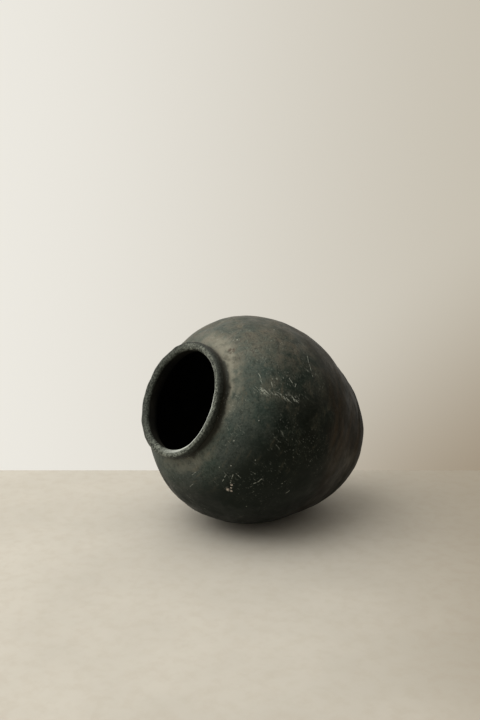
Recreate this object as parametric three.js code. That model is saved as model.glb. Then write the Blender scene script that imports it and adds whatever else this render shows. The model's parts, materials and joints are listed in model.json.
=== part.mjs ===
// A round-bottomed, hand-built pot of burnished black clay, lying on the straight cone of its lower
// wall with its mouth turned up. Its pieces are the clay sections that the potter joins: a bowl
// pressed in a mould, six coils drawn up into the wall, a neck collar and a thick rolled lip.
// Millimetres, +Z up. The pot's axis lies in the YZ plane, its mouth faces -Y and upwards, and the
// origin is on the ground at the centre of the pot's bounding box.
import * as THREE from "three";

// The pot's own frame: radii are measured from its axis, heights from its widest plane to the mouth.
const BELLY_RADIUS = 160;
const CONE_ANGLE = THREE.MathUtils.degToRad(23); // between the lower wall's straight cone and the axis
const BELLY_ARC = 180; // radius of the meridian's arc across the widest plane
const BELLY_TURN = THREE.MathUtils.degToRad(5.5); // how far the belly's arc runs above that plane
const SHOULDER_ARC = 126;
const BASE_CENTRE_HEIGHT = -73.6; // the moulded bowl is round about this point and meets the cone smoothly
const FOOT_RADIUS = 30; // the round base is dressed flat this far out
const RIDGE_STEP = 1.3; // how far the bowl's edge stands proud of the first coil
const COLLAR_RADIUS = 84;
const COLLAR_TOP = 128;
const NECK_HOLLOW = 7; // radius of the hollow between shoulder and collar
const WALL = 8.6;
const BASE_EXTRA = 2; // how much thicker the base is than the wall
const MOUTH_RADIUS = COLLAR_RADIUS - WALL;
const LIP_RADIUS = 87.8;
const RIM_HEIGHT = 137.8;
const LIP_OUTER_ROUNDING = 3;
const LIP_INNER_ROUNDING = 4;
const SADDLE_HEIGHT = 3; // the lip sits astride a crest of this height on the collar

const SEGMENTS = 48; // facets around the axis, one of them centred underneath
const GAP = 0.35; // between neighbouring sections, along the wall
const JOINT_SLOPE = 0.06; // how much lower a joint is inside the wall than outside, in spans

// The meridian is a chain of spans, and a station counts along it: 3.25 is a quarter of the way
// through the span after the third. Each span is cut into this many straight steps.
const FOOT = 0;
const CONE = 2;
const NECK = 5;
const TOP = 7;
const SPAN_STEPS = [1, 10, 4, 8, 11, 4, 1]; // foot, base, cone, belly, shoulder, neck hollow, collar

// Stations of the joints between the coils, from the moulded bowl up to the neck.
const COIL_NAMES = [
  "lower_wall_coil",
  "flaring_wall_coil",
  "lower_belly_coil",
  "upper_belly_coil",
  "lower_shoulder_coil",
  "upper_shoulder_coil",
];
const COIL_JOINTS = [CONE, 2.75, 3.38, 3.92, 4.28, 4.64, NECK];

const burnishedClay = new THREE.MeshStandardMaterial({ color: 0x23282a, roughness: 0.42, metalness: 0 });
const smokedClay = new THREE.MeshStandardMaterial({ color: 0x332c26, roughness: 0.5, metalness: 0 });
const wornClay = new THREE.MeshStandardMaterial({ color: 0x555a55, roughness: 0.6, metalness: 0 });

function arc(x, y, radius, from, to) {
  return new THREE.EllipseCurve(x, y, radius, radius, from, to, to < from);
}

// The meridian's spans at a depth below the pot's outer surface, as curves of (radius, height). Every
// depth has the same spans, so equal stations at two depths face each other across the wall.
function meridian(depth) {
  const bellyX = BELLY_RADIUS - BELLY_ARC;
  const baseY = BASE_CENTRE_HEIGHT + (depth > 0 ? BASE_EXTRA : 0);
  const baseReach = bellyX * Math.cos(CONE_ANGLE) + BASE_CENTRE_HEIGHT * Math.sin(CONE_ANGLE);
  const baseArc = BELLY_ARC + baseReach - depth;
  const footAngle = -Math.acos(FOOT_RADIUS / baseArc);
  const shoulderX = bellyX + (BELLY_ARC - SHOULDER_ARC) * Math.cos(BELLY_TURN);
  const shoulderY = (BELLY_ARC - SHOULDER_ARC) * Math.sin(BELLY_TURN);
  const hollowX = COLLAR_RADIUS + NECK_HOLLOW;
  const neckAngle = Math.acos((hollowX - shoulderX) / (SHOULDER_ARC + NECK_HOLLOW));
  const hollowY = shoulderY + (SHOULDER_ARC + NECK_HOLLOW) * Math.sin(neckAngle);

  const base = arc(0, baseY, baseArc, footAngle, -CONE_ANGLE);
  const foot = new THREE.LineCurve(new THREE.Vector2(0, base.getPoint(0).y), base.getPoint(0));
  const belly = arc(bellyX, 0, BELLY_ARC - depth, -CONE_ANGLE, BELLY_TURN);
  const cone = new THREE.LineCurve(base.getPoint(1), belly.getPoint(0));
  const shoulder = arc(shoulderX, shoulderY, SHOULDER_ARC - depth, BELLY_TURN, neckAngle);
  const hollow = arc(hollowX, hollowY, NECK_HOLLOW + depth, neckAngle - Math.PI, -Math.PI);
  const collarTop = new THREE.Vector2(COLLAR_RADIUS - depth, COLLAR_TOP);
  const collar = new THREE.LineCurve(hollow.getPoint(1), collarTop);
  return [foot, base, cone, belly, shoulder, hollow, collar];
}

const outside = meridian(0);
const inside = meridian(WALL);

// The point at a station, moved along the meridian by a few tenths to leave a joint's gap.
function wallPoint(spans, station, shift = 0) {
  const span = Math.min(Math.floor(station), spans.length - 1);
  const along = station - span;
  return spans[span].getPoint(along).addScaledVector(spans[span].getTangent(along), shift);
}

// The stations where the wall bends between two joints.
function stationsBetween(from, to) {
  const least = 0.02;
  return SPAN_STEPS.flatMap((steps, span) => Array.from({ length: steps }, (_, i) => span + i / steps))
    .filter((station) => station > from + least && station < to - least);
}

// One side of the wall from joint to joint, from its lower end to its upper end.
function wallSide(spans, from, to) {
  return [
    wallPoint(spans, from, from > FOOT ? GAP / 2 : 0),
    ...stationsBetween(from, to).map((station) => wallPoint(spans, station)),
    wallPoint(spans, to, to < TOP ? -GAP / 2 : 0),
  ];
}

function lathe(profile) {
  return new THREE.LatheGeometry(profile, SEGMENTS, -Math.PI / SEGMENTS);
}

// A ring or bowl of wall between two joints that slope down towards the inside.
function wallSection(from, to) {
  const innerFrom = from > FOOT ? from - JOINT_SLOPE : from;
  const innerTo = to < TOP ? to - JOINT_SLOPE : to;
  return { outer: wallSide(outside, from, to), inner: wallSide(inside, innerFrom, innerTo).reverse() };
}

function section(name, geometry, material) {
  const mesh = new THREE.Mesh(geometry, material);
  mesh.name = name;
  return mesh;
}

function baseBowl() {
  const { outer, inner } = wallSection(FOOT, CONE);
  return section("base_bowl", lathe([...outer, ...inner]), smokedClay);
}

function wallCoil(name, from, to) {
  const { outer, inner } = wallSection(from, to);
  if (from === CONE) outer[0].x -= RIDGE_STEP;
  return section(name, lathe([...outer, ...inner, outer[0]]), burnishedClay);
}

function saddleCrest(lift) {
  return new THREE.Vector2(COLLAR_RADIUS - WALL / 2, COLLAR_TOP + SADDLE_HEIGHT + lift);
}

function neckCollar() {
  const { outer, inner } = wallSection(NECK, TOP);
  return section("neck_collar", lathe([...outer, saddleCrest(0), ...inner, outer[0]]), burnishedClay);
}

function rimLip() {
  const bottom = COLLAR_TOP + GAP;
  const outerX = LIP_RADIUS - LIP_OUTER_ROUNDING;
  const innerX = MOUTH_RADIUS + LIP_INNER_ROUNDING;
  const profile = [
    new THREE.Vector2(COLLAR_RADIUS, bottom),
    ...arc(outerX, bottom + LIP_OUTER_ROUNDING, LIP_OUTER_ROUNDING, -Math.PI / 2, 0).getPoints(3),
    ...arc(outerX, RIM_HEIGHT - LIP_OUTER_ROUNDING, LIP_OUTER_ROUNDING, 0, Math.PI / 2).getPoints(3),
    ...arc(innerX, RIM_HEIGHT - LIP_INNER_ROUNDING, LIP_INNER_ROUNDING, Math.PI / 2, Math.PI).getPoints(3),
    new THREE.Vector2(MOUTH_RADIUS, bottom),
    saddleCrest(GAP),
  ];
  return section("rim_lip", lathe([...profile, profile[0]]), wornClay);
}

const pot = new THREE.Group();
pot.add(baseBowl());
COIL_NAMES.forEach((name, i) => pot.add(wallCoil(name, COIL_JOINTS[i], COIL_JOINTS[i + 1])));
pot.add(neckCollar(), rimLip());

// A flat facet lies a little nearer the axis than the cone that its edges are on, so its slope is less.
const restAngle = Math.atan(Math.tan(CONE_ANGLE) * Math.cos(Math.PI / SEGMENTS));
pot.rotation.x = Math.PI - restAngle;
const extent = new THREE.Box3().setFromObject(pot, true);
const middle = extent.getCenter(new THREE.Vector3());
pot.position.set(-middle.x, -middle.y, -extent.min.z);

const group = new THREE.Group();
group.add(pot);

export default group;
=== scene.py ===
import json
import math

import bpy
import numpy as np
from mathutils import Matrix, Vector


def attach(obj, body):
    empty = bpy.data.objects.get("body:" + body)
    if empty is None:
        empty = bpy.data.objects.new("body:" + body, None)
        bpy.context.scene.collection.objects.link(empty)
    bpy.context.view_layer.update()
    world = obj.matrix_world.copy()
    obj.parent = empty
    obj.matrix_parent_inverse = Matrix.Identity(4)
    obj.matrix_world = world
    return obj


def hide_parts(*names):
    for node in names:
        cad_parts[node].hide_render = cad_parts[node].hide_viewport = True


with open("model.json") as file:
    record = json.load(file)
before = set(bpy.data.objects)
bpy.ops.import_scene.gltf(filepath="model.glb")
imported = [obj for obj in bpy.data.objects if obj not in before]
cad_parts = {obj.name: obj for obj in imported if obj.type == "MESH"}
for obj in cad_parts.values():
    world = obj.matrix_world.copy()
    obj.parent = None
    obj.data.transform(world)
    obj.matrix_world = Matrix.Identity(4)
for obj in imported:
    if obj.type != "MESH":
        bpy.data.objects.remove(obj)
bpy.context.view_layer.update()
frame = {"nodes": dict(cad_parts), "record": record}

# A hand-built, round-bottomed pot of burnished black clay, lying on its side with its mouth turned up.
# Lengths are metres. The pot's own frame has radii from its axis and heights from its widest plane
# towards the mouth; an angle is 0 on the side that is uppermost and grows towards +X.
BELLY_RADIUS = 0.160
BELLY_ARC = 0.180
BELLY_TURN = math.radians(5.5)
CONE_ANGLE = math.radians(23)
BASE_CENTRE_HEIGHT = -0.0736
FOOT_RADIUS = 0.030
SHOULDER_ARC = 0.126
NECK_HOLLOW = 0.007
COLLAR_RADIUS = 0.084
COLLAR_TOP = 0.128
WALL = 0.0086
BASE_EXTRA = 0.002
MOUTH_RADIUS = COLLAR_RADIUS - WALL
LIP_RADIUS = 0.0878
RIM_HEIGHT = 0.1378
LIP_OUTER_ROUNDING = 0.0036
LIP_FALL = (0.0078, 0.0046)  # how far the lip's crest falls away inwards, across and down

SEGMENTS = 520
FINE_STEP = 0.0004  # between points of an outline before its corners are rounded
WALL_STEP = 0.0019
LIP_STEP = 0.0009
INSIDE_STEP = 0.005
LIP_STEPS_BELOW = 0.012  # how far below the collar's top the lip's finer step begins
SOFTENING = 0.0012  # how far the hand has rounded every corner of the outline

COILS = [
    "lower_wall_coil",
    "flaring_wall_coil",
    "lower_belly_coil",
    "upper_belly_coil",
    "lower_shoulder_coil",
    "upper_shoulder_coil",
]
SECTIONS = ["base_bowl", *COILS, "neck_collar", "rim_lip"]
SLOTS = {"base_bowl": "smoked_clay", "rim_lip": "worn_clay"}
COIL_SLOT = "burnished_clay"

SPOT_CORE = 0.45  # a spot or speck is full colour over this share of its radius
STROKE_CORE = 0.35

SIDE = Vector((1, 0, 0))
RIM_MOUNT = next(m for m in frame["record"]["mounts"] if m["name"] == "rim_face")
AXIS = Vector(RIM_MOUNT["axis"]).normalized()
UP = AXIS.cross(SIDE)


def node_points(name):
    mesh = frame["nodes"][name].data
    points = np.zeros(len(mesh.vertices) * 3)
    mesh.vertices.foreach_get("co", points)
    return np.unique(points.reshape(-1, 3).round(6), axis=0)


def widest_point_of_axis():
    """The point of the pot's axis in its widest plane, from which heights count."""
    rim = node_points("rim_lip")
    centre = Vector(rim.mean(0))
    top = float((rim @ np.array(AXIS)).max())
    return centre + AXIS * (top - RIM_HEIGHT - centre.dot(AXIS))


ORIGIN = widest_point_of_axis()


def node_heights(name):
    along = (node_points(name) - np.array(ORIGIN)) @ np.array(AXIS)
    return float(along.min()), float(along.max())


# ---------------------------------------------------------------- outline


def arc(x, y, radius, start, end, step=FINE_STEP):
    angles = np.linspace(start, end, max(2, round(abs(end - start) * radius / step)) + 1)
    return np.stack([x + radius * np.cos(angles), y + radius * np.sin(angles)], 1)


def line(start, end):
    share = np.linspace(0, 1, max(2, round(math.dist(start, end) / FINE_STEP)) + 1)[:, None]
    return np.array(start) * (1 - share) + np.array(end) * share


def wall_outline(depth):
    """The wall's outline at a depth below its outer surface, from the base's centre to the collar."""
    belly_x = BELLY_RADIUS - BELLY_ARC
    base_arc = BELLY_ARC + belly_x * math.cos(CONE_ANGLE) + BASE_CENTRE_HEIGHT * math.sin(CONE_ANGLE)
    base_arc -= depth
    base_y = BASE_CENTRE_HEIGHT + (BASE_EXTRA if depth else 0)
    foot_angle = -math.acos(FOOT_RADIUS / base_arc)
    shoulder_x = belly_x + (BELLY_ARC - SHOULDER_ARC) * math.cos(BELLY_TURN)
    shoulder_y = (BELLY_ARC - SHOULDER_ARC) * math.sin(BELLY_TURN)
    hollow_x = COLLAR_RADIUS + NECK_HOLLOW
    neck_angle = math.acos((hollow_x - shoulder_x) / (SHOULDER_ARC + NECK_HOLLOW))
    hollow_y = shoulder_y + (SHOULDER_ARC + NECK_HOLLOW) * math.sin(neck_angle)

    base = arc(0, base_y, base_arc, foot_angle, -CONE_ANGLE)
    foot = line((0, base[0][1]), base[0])
    belly = arc(belly_x, 0, BELLY_ARC - depth, -CONE_ANGLE, BELLY_TURN)
    cone = line(base[-1], belly[0])
    shoulder = arc(shoulder_x, shoulder_y, SHOULDER_ARC - depth, BELLY_TURN, neck_angle)
    hollow = arc(hollow_x, hollow_y, NECK_HOLLOW + depth, neck_angle - math.pi, -math.pi)
    collar = line(hollow[-1], (COLLAR_RADIUS - depth, COLLAR_TOP))
    return np.concatenate([foot, base, cone, belly, shoulder, hollow, collar])


def lip_outline():
    outer = LIP_OUTER_ROUNDING
    across, down = LIP_FALL
    lip_x = LIP_RADIUS - outer
    under = line((COLLAR_RADIUS, COLLAR_TOP), (lip_x, COLLAR_TOP))
    roll = arc(lip_x, COLLAR_TOP + outer, outer, -math.pi / 2, 0)
    shoulder = arc(lip_x, RIM_HEIGHT - outer, outer, 0, math.pi / 2)
    edge = arc(0, 0, 1, math.pi / 2, math.pi, 0.02) * [across, down]
    edge += [MOUTH_RADIUS + across, RIM_HEIGHT - down]
    return np.concatenate([under, roll, shoulder, edge])


def outline_lengths(outline):
    """The length of the outline up to each of its points."""
    return np.concatenate([[0], np.cumsum(np.linalg.norm(np.diff(outline, axis=0), axis=1))])


def evenly(outline, step):
    """The outline again, with points this far apart along it."""
    lengths = outline_lengths(outline)
    places = np.linspace(0, lengths[-1], max(2, round(lengths[-1] / step)) + 1)
    return np.stack([np.interp(places, lengths, outline[:, i]) for i in (0, 1)], 1)


def softened(outline, step, reach):
    """Rounds every corner over about this reach, and keeps the ends."""
    fine = evenly(outline, step)
    for _ in range(round(2 * (reach / step) ** 2)):
        fine[1:-1] = (fine[:-2] + 2 * fine[1:-1] + fine[2:]) / 4
    return fine


def closed_outline():
    """Every ring of the pot's surface as (radius, height), out from the foot's centre, over the lip and
    down the inside to its centre again, and the number of rings up to the mouth's inner edge."""
    outside = wall_outline(0)
    whole = np.concatenate([outside, lip_outline(), wall_outline(WALL)[::-1]])
    whole = softened(whole, FINE_STEP, SOFTENING)
    neck = int(np.argmax(whole[:, 1] > COLLAR_TOP - LIP_STEPS_BELOW))
    crest = int(np.argmax(whole[:, 1]))
    mouth = crest + int(np.argmax(whole[crest:, 1] < COLLAR_TOP))
    lower = evenly(whole[: neck + 1], WALL_STEP)
    upper = evenly(whole[neck : mouth + 1], LIP_STEP)
    inner = evenly(whole[mouth:], INSIDE_STEP)
    rows = np.concatenate([lower, upper[1:], inner[1:]])
    rows[0, 0] = rows[-1, 0] = 0
    return rows, len(lower) + len(upper) - 1


ROWS, OUTER_COUNT = closed_outline()
CREST = int(np.argmax(ROWS[:, 1]))
ANGLES = np.arange(SEGMENTS) * 2 * math.pi / SEGMENTS


# ---------------------------------------------------------------- surface


def outline_normals(rows):
    along = np.gradient(rows, axis=0)
    normals = np.stack([along[:, 1], -along[:, 0]], 1)
    return normals / np.linalg.norm(normals, axis=1)[:, None]


def waves(points, length, seed, count=28):
    """A smooth random field over space with about this wavelength, mean 0 and deviation 1."""
    random = np.random.default_rng(seed)
    total = np.zeros(points.shape[:-1])
    for _ in range(count):
        way = random.normal(size=3)
        way /= np.linalg.norm(way)
        wavelength = length * random.uniform(0.7, 1.5)
        phase = random.uniform(0, 2 * math.pi)
        total += np.sin(points @ way * (2 * math.pi / wavelength) + phase)
    return total * math.sqrt(2 / count)


def ripple(angles, lowest, highest, seed):
    """A random curve round the pot, made of whole numbers of waves, with a deviation of 1."""
    random = np.random.default_rng(seed)
    orders = range(lowest, highest + 1)
    total = sum(random.normal() * np.cos(k * angles + random.uniform(0, 2 * math.pi)) for k in orders)
    return total / np.std(total)


def bump(values, centre, width):
    return np.exp(-(((values - centre) / width) ** 2))


def ramp(values, low, high):
    share = np.clip((values - low) / (high - low), 0, 1)
    return share * share * (3 - 2 * share)


# Hollows in the surface: angle in degrees, then height, length round the pot, width and depth.
DENTS = [
    (137, 0.0750, 0.0060, 0.0036, 0.0010),
    (133, 0.0770, 0.0030, 0.0030, 0.0007),
    (29, 0.1120, 0.0050, 0.0045, 0.0010),
    (22, 0.1010, 0.0030, 0.0030, 0.0006),
    (88, 0.0200, 0.0220, 0.0160, 0.0008),
    (61, 0.0500, 0.0140, 0.0120, 0.0005),
    (205, 0.0400, 0.0160, 0.0130, 0.0009),
    (262, -0.0300, 0.0200, 0.0150, 0.0009),
    (318, 0.0650, 0.0120, 0.0100, 0.0008),
    (345, -0.0900, 0.0180, 0.0120, 0.0008),
    (240, 0.0950, 0.0040, 0.0032, 0.0009),
]
# The unevenness of the wall: how far it stands out, and over what length.
FORM = (0.0006, 0.190)
LUMPS = (0.00028, 0.048)
HAND_MARKS = (0.00007, 0.013)
INNER_FORM = 0.8  # how closely the inside follows the outside's form
# The bowl's edge: how proud or deep, how far above the joint, and how wide.
RIDGE = (0.0007, -0.0030, 0.0042)
RIDGE_GROOVE = (0.0005, 0.0042, 0.0034)
RIDGE_WANDER = 0.0012
JOINT_HOLLOW = 0.00035
JOINT_WIDTH = 0.0075
JOINT_WANDER = 0.0022
LIP_SHIFT = (-0.010, 0.003)  # the lip's own unevenness begins and is full here, from the collar's top
LIP_NICKS = 26
NICK_PLACE = (-0.012, -0.003)  # along the surface from the crest
NICK_WIDTH = (0.0012, 0.0030)
NICK_DEPTH = (0.0001, 0.0004)
NICK_REACH = 0.0022
# Lengths along the surface inwards from the crest: the outside's shape fades out, and soot covers it.
OUTSIDE_FADE = 0.012
SOOT_EDGE = (0.0095, 0.0125)


def joint_heights():
    """The heights of the joints outside the wall, from the bowl's edge to the neck."""
    return [node_heights(name)[1] for name in SECTIONS[:-2]]


def form(points):
    """How far the hand-built wall stands out from its true outline."""
    return FORM[0] * waves(points, FORM[1], 11) + LUMPS[0] * waves(points, LUMPS[1], 12)


def dents(heights, around, lengths, radii):
    total = np.zeros_like(heights)
    for degrees, height, length, width, depth in DENTS:
        row = int(np.argmin(np.abs(ROWS[:OUTER_COUNT, 1] - height)))
        turn = (around - math.radians(degrees) + math.pi) % (2 * math.pi) - math.pi
        total += depth * bump(turn * radii, 0, length) * bump(lengths, lengths[row, 0], width)
    return total


def outside_shape(points, rows, around):
    """Displacement of the outside of the wall: form, joints between coils, the bowl's edge and dents."""
    heights, radii = rows[:, 1:2] + 0 * around, rows[:, 0:1] + 0 * around
    lengths = outline_lengths(rows)[:, None] + 0 * around
    joints = joint_heights()
    shape = form(points)
    for i, height in enumerate(joints[1:], 1):
        wander = height + JOINT_WANDER * ripple(around[0], 2, 7, 20 + i)
        uneven = 0.65 + 0.35 * ripple(around[0], 1, 5, 40 + i)
        shape -= JOINT_HOLLOW * uneven * bump(heights, wander, JOINT_WIDTH)
    edge = joints[0] + RIDGE_WANDER * ripple(around[0], 2, 9, 60)
    uneven = 0.7 + 0.3 * ripple(around[0], 1, 6, 61)
    proud, above, width = RIDGE
    shape += uneven * proud * bump(heights, edge + above, width)
    deep, above, width = RIDGE_GROOVE
    shape -= uneven * deep * bump(heights, edge + above, width)
    shape += HAND_MARKS[0] * waves(points, HAND_MARKS[1], 13)
    shape -= dents(heights, around, lengths, radii)
    return shape


def lip_shape(rows, around):
    """Shifts of the neck and lip in radius and height, with the small nicks along its edges."""
    share = ramp(rows[:, 1:2], COLLAR_TOP + LIP_SHIFT[0], COLLAR_TOP + LIP_SHIFT[1])
    outward = share * (0.0005 * ripple(around[0], 2, 4, 70) + 0.00012 * ripple(around[0], 6, 21, 71))
    upward = share * (0.0004 * ripple(around[0], 2, 5, 72) + 0.00014 * ripple(around[0], 7, 24, 73))
    random = np.random.default_rng(74)
    lengths = outline_lengths(rows)[:, None]
    for _ in range(LIP_NICKS):
        place = lengths[CREST] + random.uniform(*NICK_PLACE)
        turn = (around - random.uniform(0, 2 * math.pi) + math.pi) % (2 * math.pi) - math.pi
        width, depth = random.uniform(*NICK_WIDTH), random.uniform(*NICK_DEPTH)
        upward = upward - depth * bump(turn * LIP_RADIUS, 0, width) * bump(lengths, place, NICK_REACH)
    return outward, upward


def surface():
    """Points and normals of every ring and how far inside the pot each ring is, from 0 to 1."""
    axis, up, side = (np.array(v) for v in (AXIS, UP, SIDE))
    spokes = np.cos(ANGLES)[:, None] * up + np.sin(ANGLES)[:, None] * side
    radii, heights = ROWS[:, 0][:, None, None], ROWS[:, 1][:, None, None]
    base = np.array(ORIGIN) + heights * axis + radii * spokes
    around = np.broadcast_to(ANGLES, base.shape[:2])
    lengths = outline_lengths(ROWS)
    fade = ramp(lengths, lengths[CREST] + OUTSIDE_FADE, lengths[CREST])[:, None]
    shape = fade * outside_shape(base, ROWS, around) - (1 - fade) * INNER_FORM * form(base)
    outward, upward = lip_shape(ROWS, around)
    normals = outline_normals(ROWS)
    push_out = shape * normals[:, 0:1] + outward
    push_up = shape * normals[:, 1:2] + upward
    push_out[0] = push_out[-1] = 0
    push_up[0], push_up[-1] = push_up[0].mean(), push_up[-1].mean()
    points = base + push_out[:, :, None] * spokes + push_up[:, :, None] * axis
    points[:, :, 2] -= points[:, :, 2].min()
    along = np.gradient(points, axis=0)
    across = np.roll(points, -1, 1) - np.roll(points, 1, 1)
    facing = np.cross(along, across)
    facing[0], facing[-1] = -axis, axis
    facing /= np.linalg.norm(facing, axis=2)[:, :, None]
    depth = ramp(lengths, lengths[CREST] + SOOT_EDGE[0], lengths[CREST] + SOOT_EDGE[1])
    return points, facing, depth


POINTS, NORMALS, INSIDE = surface()


def ring_near(height, inside):
    """The ring at a height, outside or inside the wall."""
    rings = np.arange(OUTER_COUNT, len(ROWS)) if inside else np.arange(CREST)
    return int(rings[np.argmin(np.abs(ROWS[rings, 1] - height))])


LIP_SEAM_DROP = 0.0005  # how much lower the lip's joint is inside the mouth


def section_rings():
    """The rings of each section in order round its cut face. A ring at a joint is in both neighbours."""
    tops = [*joint_heights(), COLLAR_TOP]
    inner = [node_heights(name)[0] for name in SECTIONS[1:-1]]
    inner.append(COLLAR_TOP - LIP_SEAM_DROP)
    outer_cuts = [0, *(ring_near(h, False) for h in tops)]
    inner_cuts = [len(ROWS) - 1, *(ring_near(h, True) for h in inner)]
    rings = {}
    for i, name in enumerate(SECTIONS[:-1]):
        outer = range(outer_cuts[i], outer_cuts[i + 1] + 1)
        inner = range(inner_cuts[i + 1], inner_cuts[i] + 1)
        rings[name] = [*outer, *inner]
    rings["rim_lip"] = list(range(outer_cuts[-1], inner_cuts[-1] + 1))
    return rings


def section_faces(rings):
    """Faces between a section's rings, with -1 for the corner that a triangle lacks, and which of them
    are cuts through the wall. The bowl's first and last rings are the points on the axis."""
    faces, cuts = [], []
    is_bowl = rings[0] == 0
    last = len(rings) - 1
    low = np.arange(SEGMENTS)
    high = (low + 1) % SEGMENTS
    pole = np.zeros_like(low)
    for k in range(last if is_bowl else len(rings)):
        n = (k + 1) % len(rings)
        here, there = k * SEGMENTS, n * SEGMENTS
        corners = [here + low, there + low, there + high, here + high]
        if is_bowl and k == 0:
            corners = [pole, there + low, there + high, pole - 1]
        if is_bowl and n == last:
            corners = [here + low, there + pole, here + high, pole - 1]
        faces.append(np.stack(corners, 1))
        cuts.append(np.full(SEGMENTS, abs(rings[n] - rings[k]) != 1))
    return np.concatenate(faces), np.concatenate(cuts)


FULLY_INSIDE = 0.999


def build_section(name, rings, outside, inside):
    """One clay section as a closed mesh. Its wall keeps the whole pot's normals, so that no joint
    shows in the burnish, and its cut faces are flat."""
    faces, cuts = section_faces(rings)
    corners = [tuple(int(i) for i in f if i >= 0) for f in faces]
    points = POINTS[rings].reshape(-1, 3)
    normals = NORMALS[rings].reshape(-1, 3)
    used = np.unique(faces[faces >= 0])
    renumber = np.full(len(points), -1)
    renumber[used] = np.arange(len(used))
    mesh = bpy.data.meshes.new(name)
    mesh.from_pydata(points[used].tolist(), [], [tuple(renumber[list(c)].tolist()) for c in corners])
    mesh.polygons.foreach_set("use_smooth", np.ones(len(faces), bool))
    depth = np.repeat(INSIDE[rings], SEGMENTS)[used]
    mesh.attributes.new("inside", "FLOAT", "POINT").data.foreach_set("value", depth.astype(np.float32))
    mesh.materials.append(outside)
    mesh.materials.append(inside)
    dark = cuts | (np.array([depth[renumber[c[0]]] for c in corners]) > FULLY_INSIDE)
    mesh.polygons.foreach_set("material_index", dark.astype(np.int32))
    mesh.update()
    flat = np.zeros(len(mesh.polygons) * 3)
    mesh.polygons.foreach_get("normal", flat)
    per_corner = []
    for i, corner in enumerate(corners):
        per_corner += [flat[3 * i : 3 * i + 3] if cuts[i] else normals[v] for v in corner]
    mesh.normals_split_custom_set(np.array(per_corner).tolist())
    piece = bpy.data.objects.new(name + "_detail", mesh)
    bpy.context.scene.collection.objects.link(piece)
    return piece


# ---------------------------------------------------------------- materials


def colour(code):
    """A colour written as RRGGBB, as linear light."""
    parts = [int(code[i : i + 2], 16) / 255 for i in (0, 2, 4)]
    return tuple(((c + 0.055) / 1.055) ** 2.4 if c > 0.04045 else c / 12.92 for c in parts) + (1.0,)


class Shader:
    """A material's node tree, with a short method for each kind of node."""

    def __init__(self, name):
        self.material = bpy.data.materials.new(name)
        self.material.use_nodes = True
        self.nodes = self.material.node_tree.nodes
        self.links = self.material.node_tree.links
        self.surface = self.nodes["Principled BSDF"]

    def put(self, socket, value):
        if isinstance(value, bpy.types.NodeSocket):
            self.links.new(value, socket)
        else:
            socket.default_value = value

    def node(self, kind, *inputs, **settings):
        node = self.nodes.new("ShaderNode" + kind)
        for key, value in settings.items():
            setattr(node, key, value)
        for i, value in enumerate(inputs):
            if value is not None:
                self.put(node.inputs[i], value)
        return node

    def math(self, operation, a, b=0.0, c=0.0):
        return self.node("Math", a, b, c, operation=operation).outputs[0]

    def dot(self, a, b):
        return self.node("VectorMath", a, b, operation="DOT_PRODUCT").outputs["Value"]

    def vector(self, operation, a, b=None):
        return self.node("VectorMath", a, b, operation=operation).outputs["Vector"]

    def scaled(self, vector, factor):
        node = self.node("VectorMath", vector, operation="SCALE")
        self.put(node.inputs["Scale"], factor)
        return node.outputs["Vector"]

    def smooth(self, value, low, high):
        """0 where the value is at low, 1 at high, and eased between them."""
        node = self.node("MapRange", interpolation_type="SMOOTHSTEP")
        self.put(node.inputs["Value"], value)
        if low < high:
            node.inputs["From Min"].default_value, node.inputs["From Max"].default_value = low, high
        else:
            node.inputs["From Min"].default_value, node.inputs["From Max"].default_value = high, low
            node.inputs["To Min"].default_value, node.inputs["To Max"].default_value = 1, 0
        return node.outputs["Result"]

    def noise(self, vector, size, detail=3.0, roughness=0.55, distortion=0.0):
        node = self.node("TexNoise", noise_dimensions="3D")
        self.put(node.inputs["Vector"], vector)
        node.inputs["Scale"].default_value = 1 / size
        node.inputs["Detail"].default_value = detail
        node.inputs["Roughness"].default_value = roughness
        node.inputs["Distortion"].default_value = distortion
        return node.outputs["Fac"]

    def mix(self, factor, a, b):
        node = self.node("Mix", data_type="RGBA")
        self.put(node.inputs["Factor"], factor)
        self.put(node.inputs[6], a)
        self.put(node.inputs[7], b)
        return node.outputs[2]

    def specks(self, vector, size, radius, share):
        """Small round spots, one for this share of cells of this size."""
        node = self.node("TexVoronoi", vector, feature="F1")
        node.inputs["Scale"].default_value = 1 / size
        near = self.smooth(node.outputs["Distance"], radius / size, SPOT_CORE * radius / size)
        pick = self.node("SeparateColor", node.outputs["Color"]).outputs[0]
        chosen = self.math("LESS_THAN", pick, share)
        return self.math("MULTIPLY", near, chosen)


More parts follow.
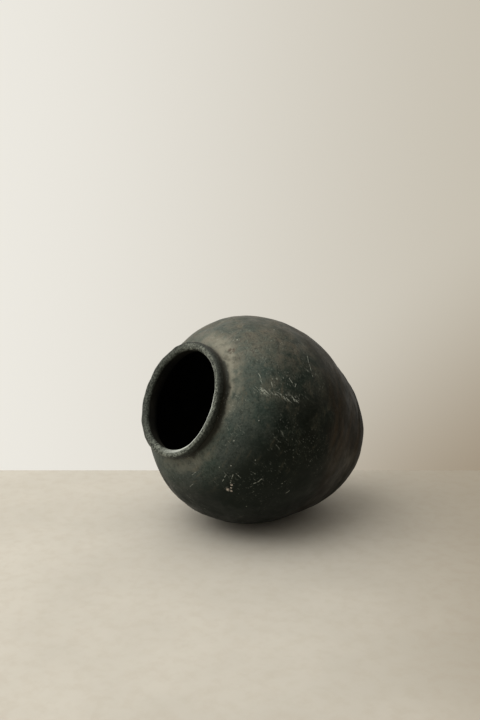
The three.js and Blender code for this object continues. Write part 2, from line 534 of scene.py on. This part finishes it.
class Clay(Shader):
    """A shader that knows where it is on the pot."""

    def __init__(self, name):
        super().__init__(name)
        self.place = self.node("TexCoord").outputs["Object"]
        self.relative = self.vector("SUBTRACT", self.place, tuple(ORIGIN))
        self.height = self.dot(self.relative, tuple(AXIS))
        across = self.vector("SUBTRACT", self.relative, self.scaled(tuple(AXIS), self.height))
        self.radius = self.node("VectorMath", across, operation="LENGTH").outputs["Value"]
        self.spoke = self.vector("NORMALIZE", across)
        self.upness = self.dot(self.spoke, tuple(UP))
        self.sideness = self.dot(self.spoke, tuple(SIDE))

    def round_the_pot(self, length, width):
        """Coordinates in which a noise of size 1 draws streaks of this length round the pot."""
        climb = self.math("SUBTRACT", self.height, self.math("MULTIPLY", self.radius, 0.8))
        turned = self.scaled(self.spoke, BELLY_RADIUS / length)
        return self.vector("ADD", turned, self.scaled(tuple(AXIS), self.math("DIVIDE", climb, width)))

    def drawn_out(self, way, length, width):
        """A noise stretched along one direction."""
        run = self.math("MULTIPLY", self.dot(self.place, tuple(way)), 1 - width / length)
        squeezed = self.vector("SUBTRACT", self.place, self.scaled(tuple(way), run))
        return self.noise(squeezed, width, 2.0, 0.5)

    def towards(self, degrees, spread):
        """1 on the line at this angle round the pot, falling to 0 at spread degrees from it."""
        turn = math.radians(degrees)
        direction = UP * math.cos(turn) + SIDE * math.sin(turn)
        return self.smooth(self.dot(self.spoke, tuple(direction)), math.cos(math.radians(spread)), 1.0)

    def both(self, *factors):
        total = factors[0]
        for factor in factors[1:]:
            total = self.math("MULTIPLY", total, factor)
        return total

    def stroke(self, start, end, width):
        """A straight scratch between two places on the pot, each an angle in degrees and a height."""
        first, last = on_surface(*start), on_surface(*end)
        span = last - first
        offset = self.vector("SUBTRACT", self.place, tuple(first))
        along = self.dot(offset, tuple(span / span.length_squared))
        share = self.node("Math", along, 1.0, operation="MULTIPLY", use_clamp=True)
        nearest = self.scaled(tuple(span), share.outputs[0])
        gap = self.node("VectorMath", offset, nearest, operation="DISTANCE").outputs["Value"]
        return self.smooth(gap, width, STROKE_CORE * width)

    def spot(self, degrees, height, radius):
        """A round spot at a place on the pot."""
        centre = tuple(on_surface(degrees, height))
        gap = self.node("VectorMath", self.place, centre, operation="DISTANCE").outputs["Value"]
        return self.smooth(gap, radius, SPOT_CORE * radius)

    def most(self, masks):
        """The highest of some masks, each drawn just before it is compared."""
        total = 0.0
        for mask in masks:
            total = self.math("MAXIMUM", total, mask)
        return total


def on_surface(degrees, height):
    """The point of the pot's outside at an angle and a height."""
    row = float(np.interp(height, ROWS[:CREST, 1], np.arange(CREST)))
    turn = degrees / 360 * SEGMENTS
    low, first = int(row), math.floor(turn)
    rings = POINTS[[low, low + 1]] * np.array([1 - row + low, row - low])[:, None, None]
    ring = rings.sum(0)
    share = turn - first
    return Vector(ring[first % SEGMENTS] * (1 - share) + ring[(first + 1) % SEGMENTS] * share)


# Scratches: where each starts and ends, as angle in degrees and height, and its width.
SCRATCHES = [
    ((43.0, 0.0200), (47.0, 0.0215), 0.0009),
    ((47.0, 0.0215), (51.5, 0.0205), 0.0009),
    ((51.5, 0.0205), (55.5, 0.0190), 0.0008),
    ((54.0, 0.0950), (58.0, 0.0925), 0.0007),
    ((58.0, 0.0925), (64.0, 0.0905), 0.0007),
    ((62.0, 0.0810), (65.0, 0.0795), 0.0007),
    ((59.0, 0.0580), (61.5, 0.0540), 0.0008),
    ((61.0, 0.0480), (63.5, 0.0500), 0.0007),
    ((123.0, 0.0590), (121.0, 0.0560), 0.0008),
    ((121.0, 0.0560), (118.0, 0.0545), 0.0008),
    ((130.0, 0.0900), (135.0, 0.0870), 0.0007),
    ((126.0, 0.0850), (132.0, 0.0800), 0.0008),
    ((124.0, 0.0840), (124.5, 0.0760), 0.0007),
    ((121.0, 0.0060), (118.5, 0.0030), 0.0007),
    ((116.0, 0.0240), (114.0, 0.0215), 0.0007),
    ((150.0, 0.1080), (156.0, 0.1060), 0.0006),
    ((158.0, 0.0980), (163.0, 0.0950), 0.0006),
]
# Round marks: angle in degrees, height and radius.
CHIPS = [(137, 0.0752, 0.0036), (136, 0.0712, 0.0022), (132.5, 0.0772, 0.0023), (134.5, 0.0745, 0.0018)]
STAIN = (29, 0.1110, 0.0075)
# A dark patch round angle 100: partly smoke from the firing, partly painted shade on the side away from the
# light.
SMOKE_AND_SHADE_PATCH = (100, -0.0050, 0.1250)
WHITE_SPECKS = [
    (106, 0.104, 0.0012),
    (122, 0.093, 0.0012),
    (110, 0.075, 0.0009),
    (129, 0.100, 0.0009),
    (87, 0.089, 0.0010),
    (139, 0.038, 0.0011),
    (13.5, 0.0895, 0.0010),
    (22.6, 0.0525, 0.0012),
    (21.5, 0.101, 0.0013),
]
# The row of slanting scratches: its ends, a line along its slant, and its half width.
HATCH_START = (67.5, 0.0965)
HATCH_END = (71.0, 0.0480)
HATCH_SLANT = ((66.5, 0.0945), (69.7, 0.0885))
HATCH_REACH = 0.0068


def hatching(clay):
    """A row of fine slanting scratches across the upper belly."""
    first, last = (on_surface(*place) for place in HATCH_SLANT)
    slant = (last - first).normalized()
    ticks = clay.smooth(clay.drawn_out(slant, 0.0120, 0.0021), 0.50, 0.57)
    scribble = clay.smooth(clay.drawn_out(SIDE, 0.0090, 0.0030), 0.60, 0.68)
    row = clay.stroke(HATCH_START, HATCH_END, HATCH_REACH)
    around = clay.both(clay.spot(60, 0.076, 0.032), scribble, 0.55)
    return clay.math("MAXIMUM", clay.both(row, ticks), around)


def scuffs_along(clay, normal, way):
    """Streaks in one direction, left out where the skin faces it and they would be only dots."""
    facing = clay.math("ABSOLUTE", clay.dot(normal, tuple(way)))
    streaks = clay.smooth(clay.drawn_out(way, 0.013, 0.0022), 0.62, 0.71)
    return clay.both(streaks, clay.smooth(facing, 0.75, 0.50))


def scuffs(clay):
    """Fine short scratches in three directions over the whole pot, thicker in some places."""
    ways = (Vector((1, 0.2, 0.4)), Vector((-0.5, 0.7, 0.6)), Vector((0.6, 0.6, -0.9)))
    normal = clay.node("TexCoord").outputs["Normal"]
    marks = clay.most(scuffs_along(clay, normal, way.normalized()) for way in ways)
    return clay.both(marks, clay.smooth(clay.noise(clay.place, 0.045, 3), 0.42, 0.60))


def body_colour(clay):
    """Near-black reduced clay with green and brown patches, greyer towards the neck from patina and painted
    sheen, and dusty on top. It is darker underneath and in a patch on one side, partly painted shade.
    """
    patches = clay.noise(clay.place, 0.085, 3, 0.55, 0.6)
    mottle = clay.noise(clay.place, 0.024, 5, 0.68, 0.4)
    fine = clay.noise(clay.place, 0.0050, 4, 0.65)
    streaks = clay.noise(clay.round_the_pot(0.040, 0.0065), 1.0, 4, 0.65)
    tint = clay.mix(clay.smooth(patches, 0.42, 0.60), colour("0b1712"), colour("10110b"))
    tint = clay.mix(clay.both(clay.smooth(mottle, 0.44, 0.60), 0.7), tint, colour("141a15"))

    # Greyer towards the neck: partly a grey-green patina, partly a painted sheen where the light catches
    # the upper shoulder.
    reach = clay.math("ADD", clay.height, clay.both(mottle, 0.030))
    patina_and_sheen = clay.smooth(clay.math("ADD", reach, clay.both(clay.upness, 0.010)), 0.064, 0.130)
    grey_patina_and_sheen = clay.mix(clay.smooth(mottle, 0.40, 0.62), colour("3a4641"), colour("495049"))
    # Bluish-grey patches round angle 128: partly the clay's tone, partly a painted sheen.
    blue_tone_and_sheen = clay.both(clay.towards(128, 58), clay.smooth(patches, 0.36, 0.56))
    grey_patina_and_sheen = clay.mix(blue_tone_and_sheen, grey_patina_and_sheen, colour("464d49"))
    tint = clay.mix(clay.both(patina_and_sheen, 0.76), tint, grey_patina_and_sheen)

    top = clay.smooth(clay.upness, 0.0, 0.98)
    dusty = clay.both(top, clay.smooth(clay.height, -0.130, 0.060))
    dusty = clay.both(dusty, clay.smooth(clay.math("ADD", patches, clay.both(mottle, 0.6)), 0.56, 0.98))
    sand = clay.mix(clay.smooth(mottle, 0.34, 0.66), colour("54584f"), colour("5e574b"))
    tint = clay.mix(clay.both(dusty, 0.75), tint, sand)

    flecks = clay.both(clay.smooth(streaks, 0.52, 0.68), clay.smooth(mottle, 0.44, 0.60), 0.55)
    tint = clay.mix(flecks, tint, colour("534c3e"))
    cloud = clay.both(clay.smooth(fine, 0.50, 0.74), clay.smooth(mottle, 0.42, 0.60), 0.40)
    tint = clay.mix(cloud, tint, colour("3f443d"))
    shade = clay.both(clay.smooth(fine, 0.56, 0.34), clay.smooth(streaks, 0.60, 0.40), 0.55)
    tint = clay.mix(shade, tint, colour("0a0c0a"))
    grit = clay.noise(clay.place, 0.0026, 3, 0.7)
    tint = clay.mix(clay.both(clay.smooth(grit, 0.48, 0.66), 0.16), tint, colour("565a51"))
    tint = clay.mix(clay.both(clay.smooth(grit, 0.50, 0.34), 0.35), tint, colour("070907"))
    # Darker on the downward-facing side of the lower pot: partly the clay's tone, partly painted shade.
    under = clay.both(clay.smooth(clay.upness, 0.15, -0.60), clay.smooth(clay.height, 0.112, 0.074))
    tint = clay.mix(clay.both(under, 0.90), tint, colour("050c08"))
    # Painted shade, with smoke from the firing: a dark patch over the side round angle 100.
    smoke_and_shade = clay.both(clay.spot(*SMOKE_AND_SHADE_PATCH), clay.smooth(mottle, 0.66, 0.42), 0.80)
    return clay.mix(smoke_and_shade, tint, colour("050a07"))


def neck_dust(clay, tint):
    """Tan dust on the slope behind the collar, and brown grime with painted shade in the hollow itself."""
    ragged = clay.noise(clay.place, 0.016, 4, 0.6)
    wander = clay.math("ADD", clay.height, clay.both(clay.math("SUBTRACT", ragged, 0.5), 0.008))
    reach = clay.math("ADD", wander, clay.both(clay.upness, 0.010))
    slope = clay.both(clay.smooth(reach, 0.1120, 0.1240), clay.smooth(wander, 0.1225, 0.1195))
    high = clay.both(slope, clay.towards(50, 80))
    foot = clay.both(clay.smooth(wander, 0.1080, 0.1160), clay.smooth(wander, 0.1215, 0.1185))
    low = clay.both(foot, clay.towards(155, 45), 0.42)
    dust = clay.both(clay.math("MAXIMUM", high, low), clay.smooth(ragged, 0.24, 0.58))
    tint = clay.mix(clay.both(dust, 0.84), tint, colour("7f7c6e"))
    # Brown grime in the neck hollow, darkened further as painted shade where the hollow lies under the lip.
    grime_and_shade = clay.both(clay.smooth(wander, 0.1180, 0.1215), clay.smooth(clay.height, 0.1300, 0.1280))
    return clay.mix(clay.both(grime_and_shade, 0.88), tint, colour("1a1610"))


def base_tint(clay, tint):
    """Smoke has browned the lower wall, with a ragged edge that leans with the way the pot lay, and its
    downward-facing side is darker, partly as painted shade.
    """
    ragged = clay.both(clay.math("SUBTRACT", clay.noise(clay.place, 0.040, 4, 0.6), 0.5), 0.050)
    lean = clay.math("SUBTRACT", ragged, clay.both(clay.upness, 0.045))
    share = clay.smooth(clay.math("ADD", clay.height, lean), -0.020, -0.042)
    share = clay.both(share, clay.math("SUBTRACT", 1.0, clay.both(clay.smooth(clay.upness, 0.1, 0.9), 0.5)))
    streaks = clay.noise(clay.round_the_pot(0.060, 0.011), 1.0, 4, 0.62)
    brown = clay.mix(clay.smooth(streaks, 0.40, 0.62), colour("120c06"), colour("2a1f12"))
    # Darker on the downward-facing side: partly the smoked clay's tone, partly painted shade.
    under = clay.both(clay.smooth(clay.upness, 0.10, -0.50), 0.75)
    brown = clay.mix(under, brown, colour("0a0704"))
    return clay.mix(clay.both(share, 0.88), tint, brown)


def burnish_height(clay):
    """Relief of the burnished skin: strokes of the stone round the pot, grain and small pits."""
    strokes = clay.noise(clay.round_the_pot(0.050, 0.0034), 1.0, 2, 0.5)
    lumps = clay.noise(clay.place, 0.010, 3, 0.55)
    grain = clay.noise(clay.place, 0.0016, 2, 0.6)
    pits = clay.specks(clay.place, 0.0060, 0.0008, 0.25)
    relief = clay.math("ADD", clay.both(strokes, 0.9), clay.both(lumps, 1.3))
    relief = clay.math("ADD", relief, clay.both(grain, 0.30))
    return clay.math("SUBTRACT", relief, clay.both(pits, 0.5))


def finish_surface(clay, tint, roughness, relief, depth, specular):
    surface = clay.surface
    clay.put(surface.inputs["Base Color"], tint)
    clay.put(surface.inputs["Roughness"], roughness)
    surface.inputs["Specular IOR Level"].default_value = specular
    surface.inputs["Specular Tint"].default_value = (0.90, 1.0, 0.88, 1.0)
    relief_node = clay.node("Bump")
    relief_node.inputs["Strength"].default_value = 1.0
    relief_node.inputs["Distance"].default_value = depth
    clay.put(relief_node.inputs["Height"], relief)
    clay.put(surface.inputs["Normal"], relief_node.outputs["Normal"])
    return clay.material


def marked(clay, tint):
    """Adds the scratches, chips and specks that the pot has picked up."""
    scratch = clay.most(clay.stroke(*stroke) for stroke in SCRATCHES)
    scratch = clay.most([scratch, hatching(clay), clay.both(scuffs(clay), 0.38)])
    scratch = clay.both(scratch, clay.smooth(clay.noise(clay.place, 0.0030, 2), 0.36, 0.56))
    tint = clay.mix(clay.both(scratch, 0.60), tint, colour("a2a69b"))
    white = clay.most(clay.spot(*speck) for speck in WHITE_SPECKS)
    scatter = clay.specks(clay.place, 0.0135, 0.00078, 0.22)
    scatter = clay.both(scatter, clay.smooth(clay.noise(clay.place, 0.050, 2), 0.48, 0.68))
    white = clay.math("MAXIMUM", white, clay.both(scatter, 0.8))
    tint = clay.mix(clay.both(white, 0.75), tint, colour("9da096"))
    stain = clay.both(clay.spot(*STAIN), clay.smooth(clay.noise(clay.place, 0.0050, 3), 0.36, 0.54))
    tint = clay.mix(clay.both(stain, 0.8), tint, colour("38261e"))
    chip = clay.most(clay.spot(*chip) for chip in CHIPS)
    chip = clay.both(chip, clay.smooth(clay.noise(clay.place, 0.0021, 2), 0.34, 0.54))
    return clay.mix(chip, tint, colour("b3a89c"))


def burnished_clay():
    clay = Clay("burnished_clay")
    tint = marked(clay, neck_dust(clay, body_colour(clay)))
    tint = base_tint(clay, tint)
    cloud = clay.noise(clay.place, 0.030, 3, 0.6)
    rough = clay.math("ADD", 0.40, clay.both(clay.smooth(cloud, 0.30, 0.72), 0.20))
    return finish_surface(clay, tint, rough, burnish_height(clay), 0.00018, 0.16)


def smoked_clay():
    clay = Clay("smoked_clay")
    tint = base_tint(clay, body_colour(clay))
    scatter = clay.specks(clay.place, 0.0120, 0.0009, 0.25)
    tint = clay.mix(clay.both(scatter, 0.5), tint, colour("7d776a"))
    rough = clay.math("ADD", 0.46, clay.both(clay.noise(clay.place, 0.020, 3), 0.24))
    return finish_surface(clay, tint, rough, burnish_height(clay), 0.00024, 0.15)


def worn_clay():
    """The lip: its slip has worn through to a granular grey. Painted highlight on its inner edge, painted
    shade on its outer side and towards -X.
    """
    clay = Clay("worn_clay")
    grains = clay.noise(clay.place, 0.0030, 4, 0.75)
    blotch = clay.noise(clay.place, 0.013, 3, 0.6)
    tint = clay.mix(clay.smooth(grains, 0.42, 0.58), colour("0e100d"), colour("6c7067"))
    tint = clay.mix(clay.both(clay.smooth(blotch, 0.44, 0.62), 0.4), tint, colour("40433c"))
    flecks = clay.specks(clay.place, 0.0042, 0.0010, 0.45)
    tint = clay.mix(clay.both(flecks, 0.7), tint, colour("8f938a"))
    # Painted highlight: a pale band along the lip's inner edge, strongest round angle 98.
    edge = clay.both(clay.smooth(clay.radius, 0.0805, 0.0780), clay.towards(98, 90), 0.92)
    tint = clay.mix(edge, tint, colour("ccd1ca"))
    # Painted shade: the lip is darker on its side towards -X, which the light reaches less.
    tint = clay.mix(clay.both(clay.smooth(clay.sideness, 0.0, -0.8), 0.60), tint, colour("151815"))
    # Painted shade: the lip's outer side and the part that drops to the collar are darkened where they turn
    # away from the light.
    side = clay.smooth(clay.radius, 0.0846, 0.0868)
    side = clay.math("MAXIMUM", side, clay.smooth(clay.height, 0.1354, 0.1326))
    side = clay.both(side, clay.smooth(clay.radius, 0.0800, 0.0830))
    tint = clay.mix(clay.both(side, 0.85), tint, colour("121411"))
    soot = clay.node("Attribute", attribute_name="inside").outputs["Fac"]
    tint = clay.mix(soot, tint, colour("100f0c"))
    rough = clay.math("ADD", 0.42, clay.both(grains, 0.24))
    relief = clay.math("ADD", clay.both(grains, 1.0), clay.both(blotch, 1.2))
    return finish_surface(clay, tint, rough, relief, 0.00045, 0.18)


def sooty_clay():
    """The inside, black with smoke from the firing."""
    clay = Clay("sooty_clay")
    cloud = clay.noise(clay.place, 0.040, 4, 0.6)
    tint = clay.mix(clay.smooth(cloud, 0.35, 0.7), colour("0d0c0a"), colour("1c1a16"))
    rough = clay.math("ADD", 0.75, clay.both(cloud, 0.2))
    relief = clay.noise(clay.round_the_pot(0.060, 0.006), 1.0, 3, 0.55)
    return finish_surface(clay, tint, rough, relief, 0.0004, 0.12)


# ---------------------------------------------------------------- surroundings

CAMERA_AZIMUTH = math.radians(51.856)
CAMERA_PITCH = math.radians(12.87)
CAMERA_DISTANCE = 1.580
CAMERA_SHIFT_RIGHT = -0.0437
CAMERA_SHIFT_UP = 0.1044
LENS = 50
FLOOR_REACH = 4.0
FLOOR_BEHIND = 0.20

BACK = Vector((math.sin(CAMERA_AZIMUTH), -math.cos(CAMERA_AZIMUTH), 0))  # level, towards the camera
RIGHT = Vector((math.cos(CAMERA_AZIMUTH), math.sin(CAMERA_AZIMUTH), 0))
UPWARDS = Vector((0, 0, 1))
MIDDLE_BELOW_BELLY = 0.0467
MIDDLE = ORIGIN - AXIS * MIDDLE_BELOW_BELLY

# The lamps' directions are an azimuth from the camera's side of the pot and an elevation, in degrees.
SUN_DIRECTION = (-66, 60)
SUN_ANGLE = math.radians(52)
SUN_ENERGY = 0.85
SOFTBOX_DIRECTION = (-76, 51)
SOFTBOX_DISTANCE = 1.25
SOFTBOX_SIZE = (2.0, 1.5)
SOFTBOX_ENERGY = 10.5
ROOM_DIM = (0.056, 0.042, 0.026, 1)
ROOM_BRIGHT = (0.94, 0.90, 0.83, 1)


def add_camera():
    back = BACK * math.cos(CAMERA_PITCH) + Vector((0, 0, math.sin(CAMERA_PITCH)))
    up = back.cross(RIGHT)
    data = bpy.data.cameras.new("camera")
    data.lens = LENS
    data.clip_start, data.clip_end = 0.05, 100
    camera = bpy.data.objects.new("camera", data)
    place = MIDDLE + RIGHT * CAMERA_SHIFT_RIGHT + up * CAMERA_SHIFT_UP + back * CAMERA_DISTANCE
    turn = Matrix((RIGHT, up, back)).transposed()
    camera.matrix_world = Matrix.Translation(place) @ turn.to_4x4()
    bpy.context.scene.collection.objects.link(camera)
    bpy.context.scene.camera = camera


def direction(azimuth, elevation):
    """A direction in degrees: its azimuth is 0 towards the camera and grows to the right."""
    a, e = math.radians(azimuth), math.radians(elevation)
    return (BACK * math.cos(a) + RIGHT * math.sin(a)) * math.cos(e) + Vector((0, 0, math.sin(e)))


def add_sun():
    data = bpy.data.lights.new("window_light", "SUN")
    data.energy = SUN_ENERGY
    data.angle = SUN_ANGLE
    data.color = (1.0, 0.975, 0.93)
    lamp = bpy.data.objects.new("window_light", data)
    lamp.rotation_euler = direction(*SUN_DIRECTION).to_track_quat("Z", "Y").to_euler()
    bpy.context.scene.collection.objects.link(lamp)


def add_softbox():
    data = bpy.data.lights.new("softbox", "AREA")
    data.shape = "RECTANGLE"
    data.size, data.size_y = SOFTBOX_SIZE
    data.energy = SOFTBOX_ENERGY
    data.color = (1.0, 0.98, 0.95)
    lamp = bpy.data.objects.new("softbox", data)
    towards = direction(*SOFTBOX_DIRECTION)
    lamp.location = MIDDLE + towards * SOFTBOX_DISTANCE
    lamp.rotation_euler = towards.to_track_quat("Z", "Y").to_euler()
    bpy.context.scene.collection.objects.link(lamp)


def add_world():
    """A pale room, brightest above and on the lamps' side. The camera sees it as a wall with painted light
    and shadow, and ground below it.
    """
    world = bpy.data.worlds.new("pale_room")
    bpy.context.scene.world = world
    world.use_nodes = True
    nodes, links = world.node_tree.nodes, world.node_tree.links
    place = nodes.new("ShaderNodeTexCoord").outputs["Generated"]

    def share(towards, low, high):
        turn = nodes.new("ShaderNodeVectorMath")
        turn.operation = "DOT_PRODUCT"
        links.new(place, turn.inputs[0])
        turn.inputs[1].default_value = towards
        ease = nodes.new("ShaderNodeMapRange")
        ease.interpolation_type = "SMOOTHSTEP"
        links.new(turn.outputs["Value"], ease.inputs["Value"])
        ease.inputs["From Min"].default_value, ease.inputs["From Max"].default_value = low, high
        return ease.outputs["Result"]

    def blend(factor, a, b):
        node = nodes.new("ShaderNodeMix")
        node.data_type = "RGBA"
        links.new(factor, node.inputs["Factor"])
        for socket, value in ((node.inputs[6], a), (node.inputs[7], b)):
            if isinstance(value, bpy.types.NodeSocket):
                links.new(value, socket)
            else:
                socket.default_value = value
        return node.outputs[2]

    lit = share(UPWARDS * 0.68 - RIGHT * 0.66 - BACK * 0.30, -0.9, 0.9)
    lit = blend(lit, ROOM_DIM, ROOM_BRIGHT)
    # What the camera sees: a pale wall with painted light that falls off towards the right.
    seen = blend(share(RIGHT, -0.32, 0.32), colour("eeebe3"), colour("c5beaf"))
    # Painted shadow low on the right of the wall, where the pot's shadow would fall.
    seen = blend(share(RIGHT * 0.6 - UPWARDS * 0.8, 0.20, 0.46), seen, colour("9a8b76"))
    seen = blend(share(-UPWARDS, 0.335, 0.39), seen, colour("bfb8a6"))
    camera_ray = nodes.new("ShaderNodeLightPath").outputs["Is Camera Ray"]
    links.new(blend(camera_ray, lit, seen), nodes["Background"].inputs["Color"])


def add_floor():
    """A pale ground that ends in a straight edge behind the pot, with painted shade that makes it dimmer
    away from the lamps.
    """
    foot = Vector((MIDDLE.x, MIDDLE.y, 0))
    left, right = foot - RIGHT * FLOOR_REACH, foot + RIGHT * FLOOR_REACH
    front, behind = BACK * FLOOR_REACH, -BACK * FLOOR_BEHIND
    corners = [left + front, right + front, right + behind, left + behind]
    mesh = bpy.data.meshes.new("floor")
    mesh.from_pydata(corners, [], [(0, 1, 2, 3)])
    floor = bpy.data.objects.new("floor", mesh)
    bpy.context.scene.collection.objects.link(floor)
    plaster = Shader("pale_plaster")
    place = plaster.node("TexCoord").outputs["Object"]
    cloud = plaster.noise(place, 0.35, 5, 0.6)
    grain = plaster.noise(place, 0.02, 4, 0.6)
    tint = plaster.mix(plaster.smooth(cloud, 0.3, 0.7), colour("bebab0"), colour("b4b0a6"))
    grains = plaster.math("MULTIPLY", plaster.smooth(grain, 0.4, 0.7), 0.25)
    tint = plaster.mix(grains, tint, colour("aba294"))
    # Painted shade: the floor's colour darkens towards the right, where the lamps' light falls off.
    painted_falloff = plaster.smooth(plaster.dot(place, tuple(RIGHT)), 0.02, 0.42)
    tint = plaster.mix(plaster.math("MULTIPLY", painted_falloff, 0.60), tint, colour("857a68"))
    plaster.put(plaster.surface.inputs["Base Color"], tint)
    plaster.surface.inputs["Roughness"].default_value = 0.85
    plaster.surface.inputs["Specular IOR Level"].default_value = 0.2
    mesh.materials.append(plaster.material)


def add_pot():
    outsides = {
        "burnished_clay": burnished_clay(),
        "smoked_clay": smoked_clay(),
        "worn_clay": worn_clay(),
    }
    inside = sooty_clay()
    for name, rings in section_rings().items():
        slot = SLOTS.get(name, COIL_SLOT)
        piece = build_section(name, rings, outsides[slot], inside)
        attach(piece, "root")
        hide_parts(name)


add_pot()
add_floor()
add_sun()
add_softbox()
add_world()
add_camera()
bpy.context.scene.view_settings.view_transform = "Standard"
